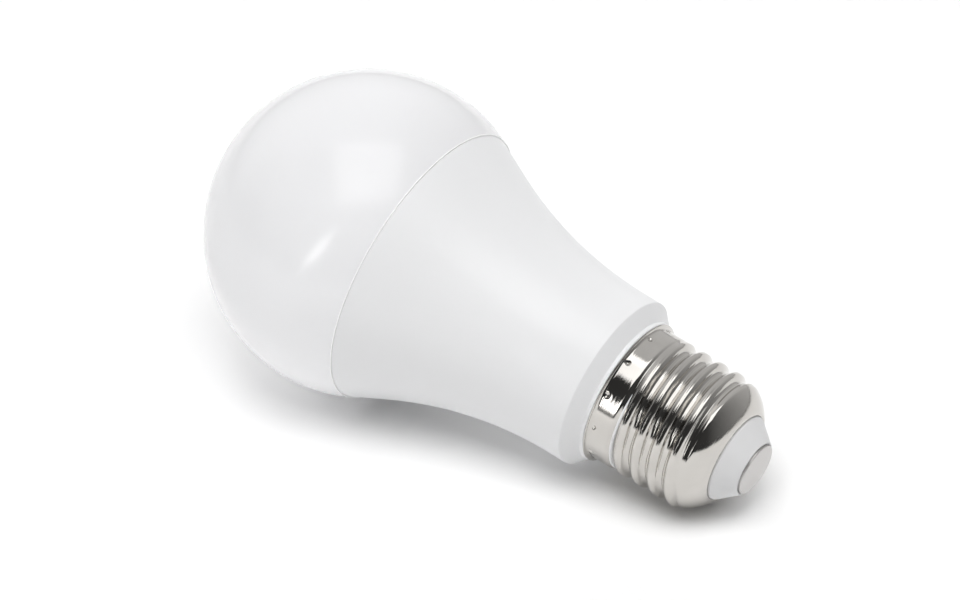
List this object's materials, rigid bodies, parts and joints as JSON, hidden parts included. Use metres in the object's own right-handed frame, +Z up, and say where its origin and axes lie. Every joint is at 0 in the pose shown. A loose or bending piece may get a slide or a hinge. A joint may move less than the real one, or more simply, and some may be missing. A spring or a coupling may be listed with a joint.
{
  "type": "smart light bulb",
  "caption": "Smart LED light bulb with a frosted globe, a flared white housing and an E27 screw cap; driver, radio and emitter boards inside.",
  "frame": {"origin": "middle of the centre contact's outer face, at the cap's end of the bulb", "axes": "+Z runs up the axis of the bulb from the cap to the globe; +X and +Y are square to it, with +X across the driver board and +Y towards the board's back"},
  "size_m": [0.0602, 0.0602, 0.1164],
  "materials": {
    "frosted_diffuser": "frosted satin polycarbonate",
    "white_housing": "satin moulded thermoplastic",
    "silicone": "cured white silicone",
    "nickel_plate": "bright nickel plate on rolled sheet",
    "insulator_plastic": "smooth moulded",
    "contact_metal": "satin nickel plate",
    "drawn_aluminium": "drawn, bare",
    "thermal_pad_grey": "soft silicone sheet",
    "white_mask_board": "white solder mask on aluminium",
    "warm_emitter": "orange phosphor in a white package",
    "cool_emitter": "yellow phosphor in a white package",
    "colour_emitter": "clear resin in a white package",
    "zinc_steel": "zinc plated",
    "connector_plastic": "moulded",
    "green_board": "green solder mask",
    "black_plastic": "moulded",
    "tinned_pin": "tin plated",
    "capacitor_sleeve": "shrunk sleeve",
    "ferrite": "sintered, unpainted",
    "enamelled_copper": "enamelled wire",
    "yellow_tape": "polyester tape",
    "resistor_coating": "lacquered ceramic",
    "varistor_coating": "epoxy dipped",
    "chip_resin": "moulded resin",
    "passive_ceramic": "fired ceramic",
    "radio_mask_board": "dark blue solder mask",
    "tin_plate": "tin plated, pressed",
    "gold_track": "gold-flashed copper",
    "live_insulation": "red silicone sleeve",
    "neutral_insulation": "black silicone sleeve"
  },
  "bodies": {
    "root": {"diffuser_globe": "frosted_diffuser", "seal_bead": "silicone", "housing": "white_housing", "heat_sink": "drawn_aluminium", "screw_shell": "nickel_plate", "insulator": "insulator_plastic", "centre_contact": "contact_metal", "thermal_pad": "thermal_pad_grey", "led_board": "white_mask_board", "warm_white_leds": "warm_emitter", "cool_white_leds": "cool_emitter", "colour_leds": "colour_emitter", "board_screws": "zinc_steel", "board_socket": "connector_plastic", "driver_board": "green_board", "pin_strip": "black_plastic", "pin_header": "tinned_pin", "input_capacitor": "capacitor_sleeve", "output_capacitor": "capacitor_sleeve", "inductor_core": "ferrite", "inductor_winding": "enamelled_copper", "transformer_core": "ferrite", "transformer_bobbin": "black_plastic", "transformer_winding": "yellow_tape", "transformer_pins": "tinned_pin", "fuse_resistor": "resistor_coating", "varistor": "varistor_coating", "component_leads": "tinned_pin", "bridge_rectifier": "chip_resin", "driver_chip": "chip_resin", "surface_passives": "passive_ceramic", "radio_board": "radio_mask_board", "radio_shield": "tin_plate", "radio_chip": "chip_resin", "radio_aerial": "gold_track", "live_wire": "live_insulation", "neutral_wire": "neutral_insulation"}
  },
  "joints": []
}
